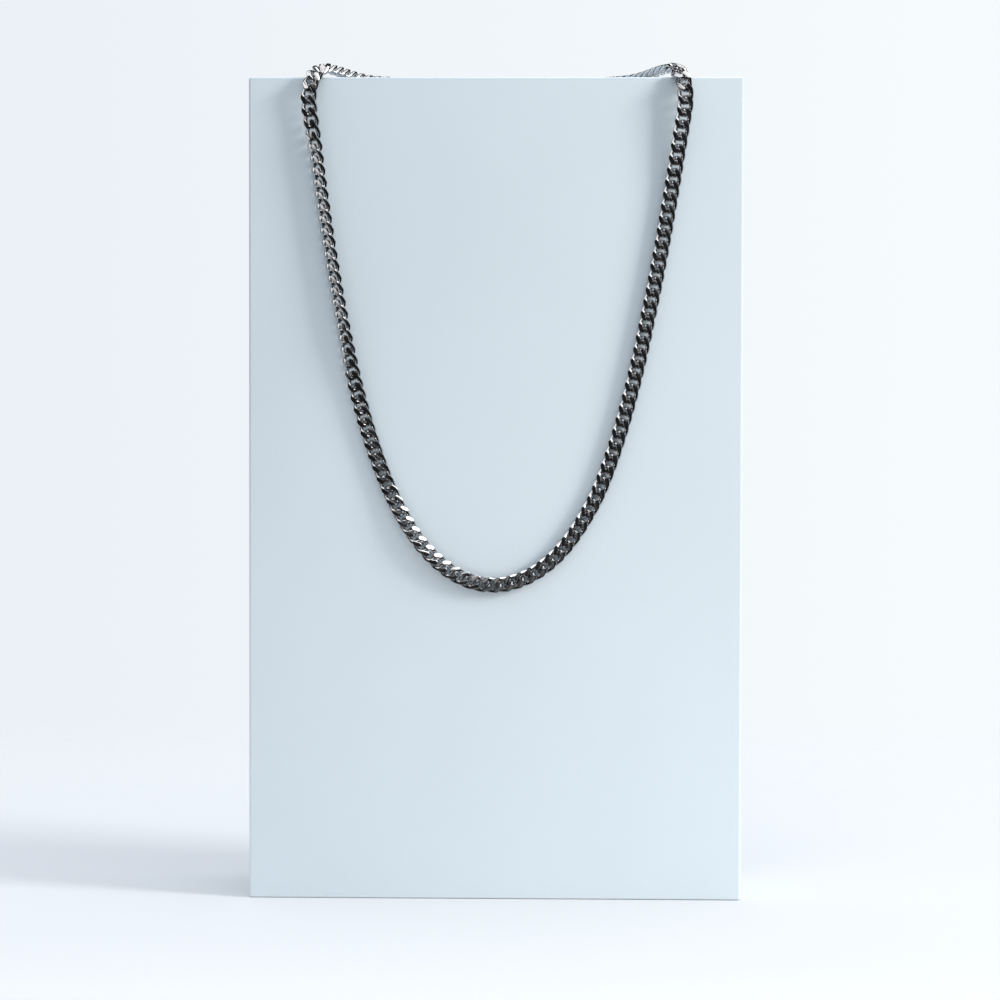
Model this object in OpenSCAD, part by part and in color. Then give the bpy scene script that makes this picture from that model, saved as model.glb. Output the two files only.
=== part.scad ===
// Curb chain necklace hung over the front top edge of an upright display block.
// Millimetres, +Z up. The front of the block faces -Y, and the origin is the
// middle of the block's underside.

/* [Display block] */
// Width of the block across its front face
block_w = 150; // [130:1:200]
// Depth of the block from front to back
block_d = 50; // [46:1:90]
// Height of the block
block_h = 250; // [200:1:320]
// Radius of the block's edges
block_edge_r = 0.8; // [0.4:0.1:1.2]

/* [Links] */
// Length of the closed necklace with its clasp
loop_len = 500; // [494:1:504]
// Distance from one link to the next along the chain
link_pitch = 3.67; // [3.6:0.01:3.8]
// Width of the chain across its flat face
link_w = 5; // [4.8:0.1:5.2]
// Thickness of the chain after it is pressed flat
link_t = 2.6; // [2.5:0.05:2.8]
// Thickness of the wire that the links are bent from
wire_d = 1.25; // [1.1:0.05:1.3]
// Play between two links before they pull tight
link_play = 0.35; // [0.3:0.05:0.4]
// Turn of each end of a link out of its middle plane, in degrees
link_twist = 45; // [42:1:50]

/* [Drape] */
// Drop from the block's top to the middle of the lowest link
drape_drop = 155; // [150:1:180]
// Radius of the curve at the bottom of the drape
drape_r = 20.45; // [19.5:0.05:24]
// Sideways place of the lowest link
drape_x = -0.95; // [-5:0.05:5]
// Sideways sway of the legs from the lowest link to the block's top
drape_sway = 1.4; // [-4:0.1:4]

/* [Block edge] */
// Length of leg below the block's top where it starts to turn inwards
turn_start = 10; // [8:1:14]
// Radius of that turn, across the flat of the chain
turn_r = 22; // [20:1:26]
// Heading inwards from straight back at the end of that turn, in degrees
turn_heading = 28; // [26:1:32]
// Radius that the chain keeps as it bends over the edge
bend_r = 8.2; // [7.6:0.1:9]
// Length of leg over which the chain settles against the front face
front_settle = 42; // [30:1:60]
// Length over which the chain settles on the top face
top_settle = 20; // [14:1:24]

/* [Clasp] */
// Outer diameter of the barrel
clasp_d = 3; // [2.6:0.1:4]
// Shortest barrel that closes the loop
clasp_min_len = 9; // [7:0.5:14]
// Wire thickness of the eyes at the ends of the barrel
eye_wire = 0.9; // [0.8:0.1:1]
// Radius of an eye to the middle of its wire
eye_r = 1.4; // [1.3:0.05:1.5]

/* [Hidden] */

// Clear space kept between the chain and what it lies on
clear = 0.18;
// Rings round a link, sides of its wire, and how square its oval is
link_rings = 12;
wire_sides = 5;
squareness = 3;
// Below 1, the twist gathers in the middle of the link
twist_ease = 0.5;
// Small step for working out a direction from two near points
step = 0.01;

// Roll of the chain's face about its own run, in degrees: plus turns the face
// to the left, seen from the front. Columns: length from the lowest link, roll
LEFT_ROLL = [[0, 0], [13, -18], [26, -28], [38, -14], [50, 0], [64, 8], [86, 32], [98, 50], [150, 50], [172, 0]];
RIGHT_ROLL = [[0, 0], [36, 0], [60, 12], [90, 17], [145, 16], [158, 8], [170, 0]];

// Wandering of the chain off the drape's even curve, plus is outwards.
// Columns: length from the lowest link, distance
LEFT_DRIFT = [[0, -1.15], [10, -1.1], [20, -0.8], [32, -0.4], [45, -0.3], [80, -0.37], [98, -0.6], [150, -0.6], [175, 0]];
RIGHT_DRIFT = [[0, -1.15], [8, -0.88], [24, 0.1], [45, 0.55], [68, 0], [100, -0.57], [130, -0.57], [150, -0.42], [175, 0]];

function unit(v) = v / norm(v);
function side(v) = v < 0 ? -1 : 1;
function signed_pow(v, k) = side(v) * pow(abs(v), k);
function asinh(v) = ln(v + sqrt(v * v + 1));
function ease(v) = let (c = max(0, min(1, v))) c * c * (3 - 2 * c);

// The chain runs on a sheet that is folded over the block's edge. A place on
// the unfolded sheet is [across, up]: up counts from the lowest link, up the
// front, round the fold and back over the top.
fold_in = (bend_r - link_t / 2 - clear + block_edge_r * (sqrt(2) - 1)) / sqrt(2);
fold_start = drape_drop - fold_in;
fold_len = bend_r * PI / 2;
proud = bend_r - fold_in;

// Leg of the drape: a hanging chain's curve, up to where the turn starts
leg_up = drape_drop - turn_start;
leg_len = sqrt(pow(leg_up + drape_r, 2) - pow(drape_r, 2));
leg_across = drape_r * asinh(leg_len / drape_r);
leg_lean = atan2(drape_r, leg_len);

// Turn inwards over the edge
turn_len = turn_r * (turn_heading + leg_lean) * PI / 180;
turn_across = leg_across - turn_r * (cos(leg_lean) - cos(turn_heading));
turn_up = leg_up + turn_r * (sin(turn_heading) + sin(leg_lean));

// A straight run back over the top takes up the spare length, and an arc
// closes the loop behind the drape
half_len = loop_len / 2;
arc_turn = (90 - turn_heading) * PI / 180;
run_len = (half_len - leg_len - turn_len - turn_across / cos(turn_heading) * arc_turn)
    / (1 - tan(turn_heading) * arc_turn);
run_across = turn_across - run_len * sin(turn_heading);
run_up = turn_up + run_len * cos(turn_heading);
arc_r = run_across / cos(turn_heading);

function on_leg(s) = [drape_r * asinh(s / drape_r), sqrt(pow(drape_r, 2) + s * s) - drape_r];
function on_turn(s) =
    let (h = s / turn_r * 180 / PI - leg_lean)
    [leg_across - turn_r * (cos(leg_lean) - cos(h)), leg_up + turn_r * (sin(h) + sin(leg_lean))];
function on_run(s) = [turn_across - s * sin(turn_heading), turn_up + s * cos(turn_heading)];
function on_arc(s) =
    let (h = turn_heading + s / arc_r * 180 / PI)
    [arc_r * cos(h), run_up + arc_r * (sin(h) - sin(turn_heading))];
function on_sheet(s) =
    let (s1 = s - leg_len, s2 = s1 - turn_len, s3 = s2 - run_len)
    s1 < 0 ? on_leg(s) : s2 < 0 ? on_turn(s1) : s3 < 0 ? on_run(s2) : on_arc(s3);

// Roll at a signed length, minus on the left side of the drape
function roll_at(s) = s < 0 ? lookup(-s, LEFT_ROLL) : -lookup(s, RIGHT_ROLL);

// Place on the sheet at a signed length, with the wandering
function wandered(s) =
    let (p = on_sheet(abs(s)), run = unit(on_sheet(abs(s) + step) - p))
    let (drift = s < 0 ? lookup(-s, LEFT_DRIFT) : lookup(s, RIGHT_DRIFT))
    [p[0] + drift * run[1], p[1] - drift * run[0]];

// Distance kept from the face, so that a rolled chain still clears it
function stand_off(s) =
    let (r = roll_at(s))
    clear + max([for (p = link_points) p[0] * sin(r) + p[1] * cos(r)]);

// Outward direction of the sheet, and the turn of the fold, at a length up it
function fold_angle(up) = 90 * max(0, min(1, (up - fold_start) / fold_len));
function outward(up) = [0, -cos(fold_angle(up)), sin(fold_angle(up))];

// Share of the way from the fold to where the chain lies flat
function settled(up) =
    up < fold_start ? ease((fold_start - up) / front_settle)
    : ease((up - fold_start - fold_len) / top_settle);

// Middle of the chain at a signed length
function route(s) =
    let (p = wandered(s), up = p[1], a = fold_angle(up))
    let (z0 = block_h - drape_drop)
    let (rise = min(up, fold_start), run = max(0, up - fold_start - fold_len))
    let (sway = drape_x + drape_sway * min(1, up / drape_drop))
    [side(s) * p[0] + sway, -block_d / 2 + fold_in - bend_r * cos(a) + run, z0 + rise + bend_r * sin(a)]
    + outward(up) * settled(up) * (stand_off(s) - proud);

// Axes of a link: across the chain, into the chain, and along it
function link_axes(s) =
    let (along = unit(route(s + step) - route(s - step)))
    let (flat = -outward(wandered(s)[1]))
    let (into = unit(flat - (flat * along) * along), across = cross(into, along))
    let (r = roll_at(s))
    [across * cos(r) + into * sin(r), into * cos(r) - across * sin(r), along];

// One link: an oval of wire, its two ends turned opposite ways, pressed flat
half_w = (link_w - wire_d) / 2;
half_l = (link_pitch + wire_d + link_play) / 2;
function twist_at(z) = -link_twist * signed_pow(z / half_l, twist_ease);
function wire_at(u) =
    let (x = half_w * signed_pow(cos(u), 2 / squareness), z = half_l * signed_pow(sin(u), 2 / squareness))
    [x * cos(twist_at(z)), x * sin(twist_at(z)), z];
function wire_ring(u) =
    let (c = wire_at(u), along = unit(wire_at(u + step) - wire_at(u - step)))
    let (face = [-sin(twist_at(c[2])), cos(twist_at(c[2])), 0])
    let (n = unit(face - (face * along) * along), b = cross(along, n))
    [for (j = [0 : wire_sides - 1])
        let (f = 360 * (j + 0.5) / wire_sides, p = c + wire_d / 2 * (cos(f) * n + sin(f) * b))
        [p[0], max(-link_t / 2, min(link_t / 2, p[1])), p[2]]];
link_points = [for (i = [0 : link_rings - 1]) each wire_ring(360 * i / link_rings)];
link_faces = [
    for (i = [0 : link_rings - 1], j = [0 : wire_sides - 1])
        let (k = (i + 1) % link_rings * wire_sides, m = (j + 1) % wire_sides, c = i * wire_sides)
        each [[c + j, k + m, c + m], [c + j, k + j, k + m]]
];

// Links on each side of the lowest one, and the eye that the last one hangs in
links_per_side = floor((half_len - clasp_min_len / 2 - eye_r - half_l) / link_pitch);
eye_at = links_per_side * link_pitch + half_l;
eye_place = route(eye_at);
eye_axes = link_axes(eye_at);

// Collars at the ends of the barrel
collar_len = 1.8;
collar_step = 0.2;

module link(s) {
    a = link_axes(s);
    c = route(s);
    polyhedron([for (p = link_points) c + p[0] * a[0] + p[1] * a[1] + p[2] * a[2]], link_faces);
}

module links(first, last) {
    for (i = [first : last])
        link(i * link_pitch);
}

module chain_left() {
    color([0.72, 0.73, 0.75])
        links(-links_per_side, 0);
}

module chain_right() {
    color([0.72, 0.73, 0.75])
        links(1, links_per_side);
}

// Plain barrel with a collar and an eye at each end, laid on the block's top
module barrel(len) {
    rotate([0, 90, 0]) {
        cylinder(d = clasp_d - 2 * collar_step, h = len, center = true, $fn = 48);
        for (end = [-1, 1])
            translate([0, 0, end * (len - collar_len) / 2])
                cylinder(d = clasp_d, h = collar_len, center = true, $fn = 48);
    }
}

module clasp_eye() {
    rotate_extrude($fn = 48)
        translate([eye_r, 0])
            circle(d = eye_wire, $fn = 24);
}

module clasp() {
    middle = drape_x + drape_sway;
    reach = eye_place[0] - middle;
    heading = atan2(eye_axes[2][1], -eye_axes[2][0]);
    color([0.72, 0.73, 0.75])
        translate([middle, eye_place[1], block_h + clear + clasp_d / 2]) {
            barrel(2 * (reach - eye_r));
            for (end = [-1, 1])
                translate([end * reach, 0, 0])
                    rotate([0, 0, -end * heading])
                        rotate([-end * 45, 0, 0])
                            clasp_eye();
        }
}

// Rectangle with round corners, made of exact arcs
module round_rect(w, h, r) {
    square([w - 2 * r, h], center = true);
    square([w, h - 2 * r], center = true);
    for (x = [-1, 1], y = [-1, 1])
        translate([x * (w / 2 - r), y * (h / 2 - r)])
            circle(r = r, $fn = 32);
}

module display_block() {
    color([0.74, 0.83, 0.89])
        translate([0, 0, block_h / 2])
            intersection() {
                linear_extrude(block_h, center = true)
                    round_rect(block_w, block_d, block_edge_r);
                rotate([90, 0, 0])
                    linear_extrude(block_d, center = true)
                        round_rect(block_w, block_h, block_edge_r);
                rotate([0, 90, 0])
                    linear_extrude(block_w, center = true)
                        round_rect(block_h, block_d, block_edge_r);
            }
}

display_block();
chain_left();
chain_right();
clasp();
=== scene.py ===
"""Curb chain necklace hung over the front top edge of an upright display block.

Metres, +Z up. The front of the block faces -Y, and the origin is the middle of
the block's underside.
"""

import math

import bpy
from mathutils import Matrix, Vector


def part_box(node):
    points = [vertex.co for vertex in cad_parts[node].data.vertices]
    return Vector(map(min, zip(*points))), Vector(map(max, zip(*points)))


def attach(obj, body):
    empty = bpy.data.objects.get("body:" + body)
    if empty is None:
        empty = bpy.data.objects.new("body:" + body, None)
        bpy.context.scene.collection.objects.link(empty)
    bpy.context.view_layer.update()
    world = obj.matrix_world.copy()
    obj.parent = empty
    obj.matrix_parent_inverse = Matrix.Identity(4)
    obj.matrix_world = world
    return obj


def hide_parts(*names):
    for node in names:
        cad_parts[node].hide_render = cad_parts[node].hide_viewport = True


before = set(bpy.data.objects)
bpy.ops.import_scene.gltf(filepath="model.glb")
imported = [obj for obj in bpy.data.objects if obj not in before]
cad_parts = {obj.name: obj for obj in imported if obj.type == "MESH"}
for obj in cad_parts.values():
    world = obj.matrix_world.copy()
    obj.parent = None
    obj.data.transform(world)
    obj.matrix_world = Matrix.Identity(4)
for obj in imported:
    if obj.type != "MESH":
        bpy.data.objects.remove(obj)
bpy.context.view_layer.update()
scene = bpy.context.scene
scene.view_settings.view_transform = "Standard"
bpy.ops.object.select_all(action="DESELECT")


# Camera
# It stands a metre in front of the block, at about two thirds of its height,
# and is turned a little to the left and tipped down.
camera_distance = 1.0
camera_turn = math.radians(1.53)
camera_tip = math.radians(-2.127)
camera_roll = math.radians(0.119)
focal_px = 3293

camera = bpy.data.objects.new("camera", bpy.data.cameras.new("camera"))
scene.collection.objects.link(camera)
camera.data.sensor_width = 36
camera.data.lens = camera.data.sensor_width * focal_px / 1000
camera.matrix_world = (
    Matrix.Translation((0.0282, -0.025 - camera_distance, 0.1591))
    @ Matrix.Rotation(camera_turn, 4, "Z")
    @ Matrix.Rotation(math.pi / 2 + camera_tip, 4, "X")
    @ Matrix.Rotation(camera_roll, 4, "Z")
)
scene.camera = camera


# Display block
# A solid fibreboard block, sprayed all over with a matt pale blue paint. Its
# edges are broken with fine paper before painting, so they are just rounded.
block_low, block_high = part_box("display_block")
block_size = block_high - block_low
block_edge_round = 0.0008
paint_colour = (0.695, 0.77, 0.81)

bpy.ops.mesh.primitive_cube_add(size=1, location=(block_low + block_high) / 2, scale=block_size)
block = bpy.context.object
block.name = block.data.name = "painted_block"
bpy.ops.object.transform_apply(location=True, rotation=True, scale=True)
rounding = block.modifiers.new("rounding", "BEVEL")
rounding.width = block_edge_round
rounding.segments = 6
rounding.harden_normals = True
bpy.ops.object.modifier_apply(modifier="rounding")
bpy.ops.object.shade_smooth_by_angle(angle=math.radians(40))
block.select_set(False)


def new_material(name):
    """A material with its Principled shader, and a function that adds a node to it."""
    made = bpy.data.materials.new(name)
    made.use_nodes = True
    tree = made.node_tree

    def add(kind, inputs=(), **settings):
        node = tree.nodes.new(kind)
        for key, value in settings.items():
            setattr(node, key, value)
        for socket, value in dict(inputs).items():
            if isinstance(value, bpy.types.NodeSocket):
                tree.links.new(value, node.inputs[socket])
            else:
                node.inputs[socket].default_value = value
        return node

    return made, tree, tree.nodes["Principled BSDF"], add


paint, tree, shader, add = new_material("pale_blue_paint")
place = add("ShaderNodeTexCoord").outputs["Object"]
cloudy = add("ShaderNodeTexNoise", {"Vector": place, "Scale": 14, "Detail": 3, "Roughness": 0.5})
grain = add("ShaderNodeTexNoise", {"Vector": place, "Scale": 2600, "Detail": 2, "Roughness": 0.6})
spray = add("ShaderNodeTexNoise", {"Vector": place, "Scale": 420, "Detail": 2, "Roughness": 0.5})
shade = add(
    "ShaderNodeMapRange",
    {"Value": cloudy.outputs["Fac"], "From Min": 0.3, "From Max": 0.7, "To Min": 0.985, "To Max": 1.015},
)
speck = add(
    "ShaderNodeMapRange",
    {"Value": grain.outputs["Fac"], "From Min": 0.3, "From Max": 0.7, "To Min": 0.985, "To Max": 1.015},
)
both = add("ShaderNodeMath", {0: shade.outputs["Result"], 1: speck.outputs["Result"]}, operation="MULTIPLY")
tint = add("ShaderNodeVectorMath", {0: paint_colour, "Scale": both.outputs[0]}, operation="SCALE")
tree.links.new(tint.outputs["Vector"], shader.inputs["Base Color"])
gloss = add(
    "ShaderNodeMapRange",
    {"Value": spray.outputs["Fac"], "From Min": 0.3, "From Max": 0.7, "To Min": 0.62, "To Max": 0.74},
)
tree.links.new(gloss.outputs["Result"], shader.inputs["Roughness"])
skin = add("ShaderNodeBump", {"Height": spray.outputs["Fac"], "Strength": 0.12, "Distance": 0.00005})
fine = add(
    "ShaderNodeBump",
    {"Height": grain.outputs["Fac"], "Strength": 0.1, "Distance": 0.00002, "Normal": skin.outputs["Normal"]},
)
tree.links.new(fine.outputs["Normal"], shader.inputs["Normal"])
shader.inputs["Specular IOR Level"].default_value = 0.35
block.data.materials.append(paint)
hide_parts("display_block")
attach(block, "root")


# Chain links
# Polished stainless steel curb chain, 5 mm wide. Each link is a ring of wire
# drawn out long, twisted about its length, and ground on both faces, each a
# little roof-shaped. Neighbours hang in each other with a little play.
MM = 0.001
link_pitch = 3.67
link_w = 5.07
link_t = 2.3
wire_d = 1.5
link_play = 0.1
corner_r = 1.25
link_twist = math.radians(45)
twist_from = 0.17
ground_at = 1.2
ground_tilt = math.radians(9)
links_per_side = 65
fewest_ground_corners = 13
steel_colour = (0.64, 0.64, 0.65)

half_w = (link_w - wire_d) / 2
half_l = (link_pitch + wire_d + link_play) / 2
bpy.ops.mesh.primitive_torus_add(
    major_segments=48,
    minor_segments=16,
    major_radius=corner_r * MM,
    minor_radius=wire_d / 2 * MM,
    rotation=(math.pi / 2, 0, 0),
)
link = bpy.context.object
link.name = "link"
bpy.ops.object.transform_apply(location=True, rotation=True, scale=True)
# draw the ring out: its right and left halves move apart, then its upper and lower ones
for axis, spread in ((0, half_w - corner_r), (2, half_l - corner_r)):
    for side in (1, -1):
        bpy.ops.object.mode_set(mode="EDIT")
        bpy.ops.mesh.select_all(action="DESELECT")
        bpy.ops.object.mode_set(mode="OBJECT")
        for vertex in link.data.vertices:
            vertex.select = vertex.co[axis] * side > 1e-6
        step = Vector((0, 0, 0))
        step[axis] = side * spread * MM
        bpy.ops.object.mode_set(mode="EDIT")
        bpy.ops.transform.translate(value=step)
        bpy.ops.object.mode_set(mode="OBJECT")
# more rings across its long sides, for the twist to turn
for height in (-2.1, -1.8, -1.5, -1.2, -0.9, -0.6, -0.3, 0.3, 0.6, 0.9, 1.2, 1.5, 1.8, 2.1):
    bpy.ops.object.mode_set(mode="EDIT")
    bpy.ops.mesh.select_all(action="SELECT")
    bpy.ops.mesh.bisect(plane_co=(0, 0, height * MM), plane_no=(0, 0, 1), threshold=1e-7)
    bpy.ops.object.mode_set(mode="OBJECT")
# hold it by both ends and twist it between them
twist = link.modifiers.new("twist", "SIMPLE_DEFORM")
twist.deform_method = "TWIST"
twist.deform_axis = "Z"
twist.limits = (twist_from, 1 - twist_from)
twist.angle = -2 * link_twist
bpy.ops.object.modifier_apply(modifier="twist")
# grind both faces with two slopes each
for side in (1, -1):
    for slope in (1, -1):
        bpy.ops.object.mode_set(mode="EDIT")
        bpy.ops.mesh.select_all(action="SELECT")
        bpy.ops.mesh.bisect(
            plane_co=(slope * ground_at * MM, side * link_t / 2 * MM, 0),
            plane_no=(slope * math.sin(ground_tilt), side * math.cos(ground_tilt), 0),
            use_fill=True,
            clear_outer=True,
            threshold=1e-7,
        )
        bpy.ops.object.mode_set(mode="OBJECT")
# polish the ground faces, which leaves them a little crowned
bpy.ops.object.mode_set(mode="EDIT")
bpy.ops.mesh.select_mode(type="FACE")
bpy.ops.mesh.select_all(action="DESELECT")
bpy.ops.mesh.remove_doubles(threshold=0.03 * MM)
bpy.ops.object.mode_set(mode="OBJECT")
for face in link.data.polygons:
    face.select = len(face.vertices) >= fewest_ground_corners
bpy.ops.object.mode_set(mode="EDIT")
for width, height in ((0.12, 0.03), (0.14, 0.015)):
    bpy.ops.mesh.inset(thickness=width * MM, depth=height * MM, use_even_offset=False)
bpy.ops.object.mode_set(mode="OBJECT")
bpy.ops.object.shade_smooth_by_angle(angle=math.radians(32))
link.select_set(False)

# the way the chain takes, in millimetres, as on a sheet that is folded over
# the block's edge: up counts from the lowest link, up the front and back over
loop_len = 500
drape_drop = 155
drape_r = 20.45
drape_x = -0.95
drape_sway = 1.4
turn_start = 10
turn_r = 22
turn_heading = math.radians(28)
bend_r = 7.9
front_settle = 34
top_settle = 20
clear = 0.04
link_reach = 2.5
part_link_t = 2.6
part_wire_d = 1.25
part_link_play = 0.35
# rows of length from the lowest link, with the face's roll in degrees or the
# chain's drift off the even curve in millimetres
left_roll = [
    (0, 0), (13, -18), (26, -28), (38, -14), (50, 0),
    (64, 8), (86, 32), (98, 50), (150, 50), (172, 0),
]
right_roll = [(0, 0), (36, 0), (60, 12), (90, 17), (145, 16), (158, 8), (170, 0)]
left_drift = [
    (0, -1.15), (10, -1.1), (20, -0.8), (32, -0.4), (45, -0.3),
    (80, -0.37), (98, -0.6), (150, -0.6), (175, 0),
]
right_drift = [
    (0, -1.15), (8, -0.88), (24, 0.1), (45, 0.55), (68, 0),
    (100, -0.57), (130, -0.57), (150, -0.42), (175, 0),
]

fold_in = (bend_r - part_link_t / 2 - clear + block_edge_round / MM * (math.sqrt(2) - 1)) / math.sqrt(2)
fold_start = drape_drop - fold_in
fold_len = bend_r * math.pi / 2
proud = bend_r - fold_in
leg_up = drape_drop - turn_start
leg_len = math.sqrt((leg_up + drape_r) ** 2 - drape_r**2)
leg_across = drape_r * math.asinh(leg_len / drape_r)
leg_lean = math.atan2(drape_r, leg_len)
turn_len = turn_r * (turn_heading + leg_lean)
turn_across = leg_across - turn_r * (math.cos(leg_lean) - math.cos(turn_heading))
turn_up = leg_up + turn_r * (math.sin(turn_heading) + math.sin(leg_lean))
arc_turn = math.pi / 2 - turn_heading
run_len = (loop_len / 2 - leg_len - turn_len - turn_across / math.cos(turn_heading) * arc_turn) / (
    1 - math.tan(turn_heading) * arc_turn
)
run_across = turn_across - run_len * math.sin(turn_heading)
run_up = turn_up + run_len * math.cos(turn_heading)
arc_r = run_across / math.cos(turn_heading)


def on_sheet(length):
    """Place on the unfolded sheet, across and up, at a length from the lowest link."""
    past_leg = length - leg_len
    past_turn = past_leg - turn_len
    past_run = past_turn - run_len
    if past_leg < 0:
        return drape_r * math.asinh(length / drape_r), math.hypot(drape_r, length) - drape_r
    if past_turn < 0:
        heading = past_leg / turn_r - leg_lean
        return (
            leg_across - turn_r * (math.cos(leg_lean) - math.cos(heading)),
            leg_up + turn_r * (math.sin(heading) + math.sin(leg_lean)),
        )
    if past_run < 0:
        return turn_across - past_turn * math.sin(turn_heading), turn_up + past_turn * math.cos(turn_heading)
    heading = turn_heading + past_run / arc_r
    return arc_r * math.cos(heading), run_up + arc_r * (math.sin(heading) - math.sin(turn_heading))


def looked_up(rows, length):
    """Value at a length in rows of length and value, straight between them."""
    at = min(abs(length), rows[-1][0])
    for (a, low), (b, high) in zip(rows, rows[1:]):
        if at <= b:
            return low + (high - low) * (at - a) / (b - a)


def roll_at(length):
    """Roll of the chain's face at a signed length, minus on the left side."""
    if length < 0:
        return math.radians(looked_up(left_roll, length))
    return -math.radians(looked_up(right_roll, length))


def wandered(length):
    """Place on the sheet at a signed length, with the chain's wandering."""
    across, up = on_sheet(abs(length))
    next_across, next_up = on_sheet(abs(length) + 0.01)
    run = math.hypot(next_across - across, next_up - up)
    drift = looked_up(left_drift if length < 0 else right_drift, length)
    return across + drift * (next_up - up) / run, up - drift * (next_across - across) / run


def eased(share):
    """0 to 1 with a soft start and end."""
    share = max(0.0, min(1.0, share))
    return share * share * (3 - 2 * share)


link_outline = [(v.co.x / MM, v.co.y / MM) for v in link.data.vertices]
stand_offs = {}


def stand_off(roll):
    """Distance kept from the face, so that a rolled chain still clears it."""
    key = round(roll, 4)
    if key not in stand_offs:
        stand_offs[key] = clear + max(x * math.sin(key) + y * math.cos(key) for x, y in link_outline)
    return stand_offs[key]


def stand_off_at(length):
    """The largest stand-off within reach of a link, where the roll changes."""
    return max(stand_off(roll_at(length + ahead)) for ahead in (-link_reach, 0, link_reach))


def outward(up):
    """Direction away from the block's surface at a length up the sheet."""
    fold = math.pi / 2 * max(0.0, min(1.0, (up - fold_start) / fold_len))
    return Vector((0, -math.cos(fold), math.sin(fold)))


def route(length):
    """Middle of the chain at a signed length from the lowest link."""
    across, up = wandered(length)
    away = outward(up)
    sway = drape_x + drape_sway * min(1.0, up / drape_drop)
    back = max(0.0, up - fold_start - fold_len)
    if up < fold_start:
        settled = eased((fold_start - up) / front_settle)
    else:
        settled = eased(back / top_settle)
    middle = Vector(
        (
            math.copysign(across, length) + sway,
            block_low.y / MM + fold_in + bend_r * away.y + back,
            block_high.z / MM - drape_drop + min(up, fold_start) + bend_r * away.z,
        )
    )
    return middle + away * settled * (stand_off_at(length) - proud)


def link_place(length):
    """Where a link sits: its own x across the chain, y into it and z along it."""
    along = (route(length + 0.01) - route(length - 0.01)).normalized()
    flat = -outward(wandered(length)[1])
    into = (flat - flat.dot(along) * along).normalized()
    across = into.cross(along)
    axes = Matrix((across, into, along)).transposed().to_4x4()
    return Matrix.Translation(route(length) * MM) @ axes @ Matrix.Rotation(roll_at(length), 4, "Z")


steel, tree, shader, add = new_material("polished_steel")
place = add("ShaderNodeTexCoord").outputs["Object"]
smear = add("ShaderNodeTexNoise", {"Vector": place, "Scale": 260, "Detail": 3, "Roughness": 0.6})
scratch = add("ShaderNodeTexNoise", {"Vector": place, "Scale": 5200, "Detail": 2, "Roughness": 0.6})
dull = add(
    "ShaderNodeMapRange",
    {"Value": smear.outputs["Fac"], "From Min": 0.35, "From Max": 0.7, "To Min": 0.10, "To Max": 0.17},
)
tree.links.new(dull.outputs["Result"], shader.inputs["Roughness"])
marks = add("ShaderNodeBump", {"Height": scratch.outputs["Fac"], "Strength": 0.06, "Distance": 0.00001})
tree.links.new(marks.outputs["Normal"], shader.inputs["Normal"])
shader.inputs["Base Color"].default_value = (*steel_colour, 1)
shader.inputs["Metallic"].default_value = 1.0
link.data.materials.append(steel)


def lay_chain(name, node, first, last):
    """Copies of the link along the way, joined into one piece."""
    bpy.ops.object.select_all(action="DESELECT")
    for number in range(first, last + 1):
        copy = link.copy()
        copy.data = link.data.copy()
        copy.data.transform(link_place(number * link_pitch))
        scene.collection.objects.link(copy)
        copy.select_set(True)
    bpy.context.view_layer.objects.active = copy
    bpy.ops.object.join()
    chain = bpy.context.object
    chain.name = chain.data.name = name
    chain.select_set(False)
    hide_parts(node)
    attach(chain, "root")


lay_chain("curb_chain_left", "chain_left", -links_per_side, 0)
lay_chain("curb_chain_right", "chain_right", 1, links_per_side)
bpy.data.objects.remove(link)


# Clasp
# Out of sight behind the drape: a plain steel barrel with a collar and a wire
# eye at each end. The last link of either side hangs in its eye.
clasp_d = 3.0
eye_wire = 0.9
eye_r = 1.4
collar_len = 1.8
collar_step = 0.2
cad_half_l = (link_pitch + part_wire_d + part_link_play) / 2

eye_at = links_per_side * link_pitch + cad_half_l
eye_place = route(eye_at)
eye_along = (route(eye_at + 0.01) - route(eye_at - 0.01)).normalized()
clasp_x = drape_x + drape_sway
clasp_y = eye_place.y
clasp_z = block_high.z / MM + clear + clasp_d / 2
reach = eye_place.x - clasp_x
heading = math.atan2(eye_along.y, -eye_along.x)
barrel_len = 2 * (reach - eye_r)
clasp_parts = []


def clasp_tube(diameter, length, centre_x, rounding):
    """A length of turned steel along X, with broken edges."""
    bpy.ops.mesh.primitive_cylinder_add(
        vertices=64,
        radius=diameter / 2 * MM,
        depth=length * MM,
        location=(centre_x * MM, clasp_y * MM, clasp_z * MM),
        rotation=(0, math.pi / 2, 0),
    )
    tube = bpy.context.object
    bpy.ops.object.transform_apply(location=True, rotation=True, scale=True)
    edge = tube.modifiers.new("edge", "BEVEL")
    edge.width = rounding * MM
    edge.segments = 4
    edge.limit_method = "ANGLE"
    edge.angle_limit = math.radians(60)
    bpy.ops.object.modifier_apply(modifier="edge")
    clasp_parts.append(tube)


clasp_tube(clasp_d - 2 * collar_step, barrel_len - 0.2, clasp_x, 0.15)
for end in (1, -1):
    clasp_tube(clasp_d, collar_len, clasp_x + end * (barrel_len - collar_len) / 2, 0.12)
    bpy.ops.mesh.primitive_torus_add(
        major_segments=48,
        minor_segments=16,
        major_radius=eye_r * MM,
        minor_radius=eye_wire / 2 * MM,
        location=(0, 0, 0),
    )
    eye = bpy.context.object
    eye.data.transform(
        Matrix.Translation((clasp_x * MM + end * reach * MM, clasp_y * MM, clasp_z * MM))
        @ Matrix.Rotation(-end * heading, 4, "Z")
        @ Matrix.Rotation(-end * math.radians(45), 4, "X")
    )
    clasp_parts.append(eye)
bpy.ops.object.select_all(action="DESELECT")
for part in clasp_parts:
    part.select_set(True)
bpy.ops.object.join()
clasp = bpy.context.object
clasp.name = clasp.data.name = "barrel_clasp"
bpy.ops.object.shade_smooth_by_angle(angle=math.radians(35))
clasp.select_set(False)
clasp.data.materials.append(steel)
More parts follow.
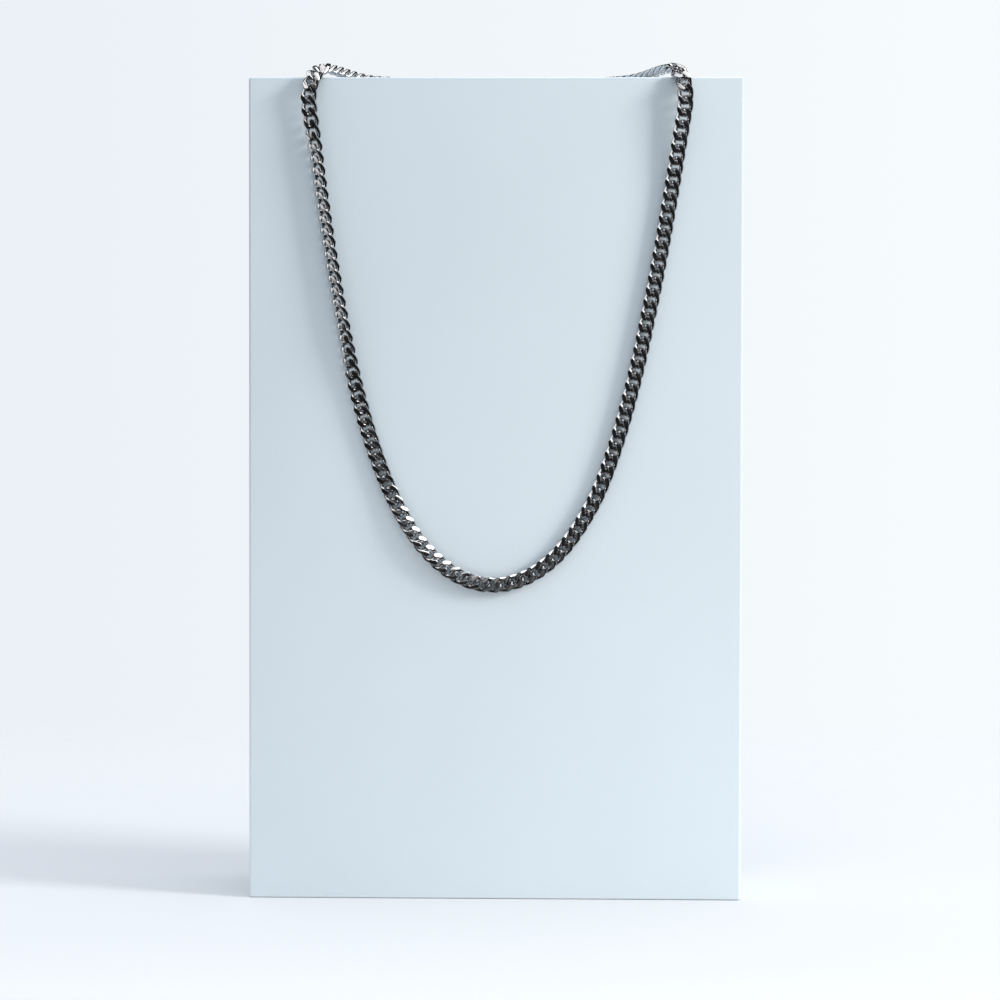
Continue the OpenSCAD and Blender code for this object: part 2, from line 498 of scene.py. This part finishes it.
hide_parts("clasp")
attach(clasp, "root")


# Floor
# A white sweep of matt card, which fades into the pale surroundings.
bpy.ops.mesh.primitive_circle_add(vertices=96, radius=0.62, fill_type="NGON")
floor = bpy.context.object
floor.name = "floor"
floor.visible_glossy = False
card, tree, shader, add = new_material("white_card")
shader.inputs["Base Color"].default_value = (0.70, 0.70, 0.705, 1)
shader.inputs["Roughness"].default_value = 0.9
place = add("ShaderNodeTexCoord").outputs["Object"]
radius = add("ShaderNodeVectorMath", {0: place}, operation="LENGTH")
fade = add(
    "ShaderNodeMapRange",
    {"Value": radius.outputs["Value"], "From Min": 0.16, "From Max": 0.6, "To Min": 1, "To Max": 0},
    interpolation_type="SMOOTHSTEP",
)
tree.links.new(fade.outputs["Result"], shader.inputs["Alpha"])
floor.data.materials.append(card)


# Light
# A soft light from the right, a little in front of the block's face, and a low
# reflector, in a pale studio. The steel mirrors a dark room with softboxes.
key_direction = Vector((0.80, -0.29, 0.34)).normalized()
key = bpy.data.objects.new("key", bpy.data.lights.new("key", "AREA"))
key.data.shape = "SQUARE"
key.data.size = 0.6
key.data.energy = 38
key.data.color = (1.0, 0.975, 0.945)
key.location = Vector((0, -0.025, 0.13)) + key_direction * 2.2
key.rotation_euler = key_direction.to_track_quat("Z", "Y").to_euler()
key.visible_camera = False
key.visible_glossy = False
scene.collection.objects.link(key)
# a strip of warm reflector lying on the floor, which faces up at the block
reflector = bpy.data.objects.new("reflector", bpy.data.lights.new("reflector", "AREA"))
reflector.data.shape = "RECTANGLE"
reflector.data.size = 0.5
reflector.data.size_y = 0.02
reflector.data.energy = 0.06
reflector.data.color = (1.0, 0.80, 0.62)
reflector.location = (0, -0.21, 0.012)
reflector.rotation_euler = (math.radians(145), 0, 0)
reflector.visible_camera = False
reflector.visible_glossy = False
scene.collection.objects.link(reflector)

world = bpy.data.worlds.new("studio")
scene.world = world
world.use_nodes = True
tree = world.node_tree
nodes, wires = tree.nodes, tree.links
look = nodes.new("ShaderNodeTexCoord")


def studio_ramp(axis, stops):
    """Colours by how far a direction points along an axis, from -1 to 1."""
    share = nodes.new("ShaderNodeVectorMath")
    share.operation = "DOT_PRODUCT"
    share.inputs[1].default_value = Vector(axis).normalized()
    wires.new(look.outputs["Generated"], share.inputs[0])
    spread = nodes.new("ShaderNodeMapRange")
    spread.inputs["From Min"].default_value = -1
    wires.new(share.outputs["Value"], spread.inputs["Value"])
    ramp = nodes.new("ShaderNodeValToRGB")
    while len(ramp.color_ramp.elements) < len(stops):
        ramp.color_ramp.elements.new(0.5)
    for element, (at, colour) in zip(ramp.color_ramp.elements, stops):
        element.position = (at + 1) / 2
        element.color = (*colour, 1)
    wires.new(spread.outputs[0], ramp.inputs[0])
    return ramp.outputs["Color"]


def grey(*stops):
    """Stops of plain tones as stops of colours."""
    return [(at, (tone, tone, tone)) for at, tone in stops]


# what lights the scene
lit = nodes["Background"]
wires.new(
    studio_ramp(
        (0, 0, 1),
        [(-1, (0, 0, 0)), (-0.03, (0, 0, 0)), (0.03, (0.38, 0.42, 0.465)), (1, (1.36, 1.46, 1.58))],
    ),
    lit.inputs["Color"],
)
# what the steel mirrors: softboxes to the right, overhead, to the left and in
# front, each with a direction, half its angle in degrees and its strength
mirrored = nodes.new("ShaderNodeBackground")
mirrored_light = None
room_tone = 0.003
soft_edge = 0.02
for direction, half_angle, strength in (
    ((0.64, -0.45, 0.62), 19, 4.0),
    ((0, -0.15, 1), 42, 1.3),
    ((-1, 0, 0.05), 13, 1.0),
    ((0, -0.92, 0.38), 12, 0.4),
    ((0, -0.92, -0.38), 12, 0.2),
):
    edge = math.cos(math.radians(half_angle))
    tones = grey((-1, room_tone), (edge - soft_edge, room_tone), (edge + soft_edge, strength), (1, strength))
    softbox = studio_ramp(direction, tones)
    if mirrored_light:
        both = nodes.new("ShaderNodeMix")
        both.data_type = "RGBA"
        both.blend_type = "ADD"
        both.inputs["Factor"].default_value = 1
        wires.new(mirrored_light, both.inputs[6])
        wires.new(softbox, both.inputs[7])
        softbox = both.outputs[2]
    mirrored_light = softbox
wires.new(mirrored_light, mirrored.inputs["Color"])
# what the camera sees: a pale backdrop with painted shade, darker towards the left, away from the key light
# on the right
seen = nodes.new("ShaderNodeBackground")
wires.new(
    studio_ramp(
        (1, 0, 0),
        [
            (-1, (0.80, 0.84, 0.89)),
            (-0.15, (0.84, 0.88, 0.93)),
            (0.1, (0.92, 0.96, 0.98)),
            (1, (0.94, 0.97, 0.99)),
        ],
    ),
    seen.inputs["Color"],
)
path = nodes.new("ShaderNodeLightPath")
last = lit.outputs[0]
for ray, source in (("Is Glossy Ray", mirrored), ("Is Camera Ray", seen)):
    choice = nodes.new("ShaderNodeMixShader")
    wires.new(path.outputs[ray], choice.inputs[0])
    wires.new(last, choice.inputs[1])
    wires.new(source.outputs[0], choice.inputs[2])
    last = choice.outputs[0]
wires.new(last, nodes["World Output"].inputs["Surface"])
